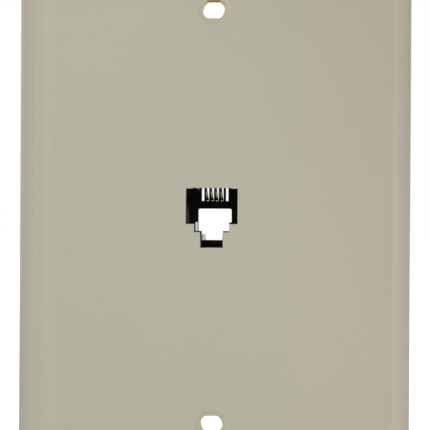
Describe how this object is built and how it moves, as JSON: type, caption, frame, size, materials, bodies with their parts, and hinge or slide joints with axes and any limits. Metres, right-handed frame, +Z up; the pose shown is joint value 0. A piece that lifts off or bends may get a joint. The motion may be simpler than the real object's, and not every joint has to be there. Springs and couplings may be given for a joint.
{
  "type": "telephone wall socket",
  "caption": "Flush telephone wall plate with a modular jack in its middle and screw terminals behind it.",
  "frame": {"origin": "centre of the plate's rim on the plane of the wall, midway between the two mounting screw holes", "axes": "+X to the right as seen from the room, +Y into the wall, +Z up"},
  "size_m": [0.0794, 0.0244, 0.1238],
  "materials": {
    "plate_plastic": "satin",
    "jack_plastic": "gloss",
    "contact_gold": "bright",
    "lug_tin": "tinned",
    "washer_brass": "satin",
    "screw_brass": "satin",
    "lead_black_vinyl": "satin",
    "lead_red_vinyl": "satin",
    "lead_green_vinyl": "satin",
    "lead_yellow_vinyl": "satin"
  },
  "bodies": {
    "root": {"wall_plate": "plate_plastic", "jack_housing": "jack_plastic", "contact_carrier": "jack_plastic", "lead_clamp": "jack_plastic", "contact_wire_2": "contact_gold", "contact_wire_3": "contact_gold", "contact_wire_4": "contact_gold", "contact_wire_5": "contact_gold", "lead_black": "lead_black_vinyl", "spade_lug_black": "lug_tin", "terminal_washer_black": "washer_brass", "terminal_screw_black": "screw_brass", "lead_red": "lead_red_vinyl", "spade_lug_red": "lug_tin", "terminal_washer_red": "washer_brass", "terminal_screw_red": "screw_brass", "lead_green": "lead_green_vinyl", "spade_lug_green": "lug_tin", "terminal_washer_green": "washer_brass", "terminal_screw_green": "screw_brass", "lead_yellow": "lead_yellow_vinyl", "spade_lug_yellow": "lug_tin", "terminal_washer_yellow": "washer_brass", "terminal_screw_yellow": "screw_brass"}
  },
  "joints": []
}
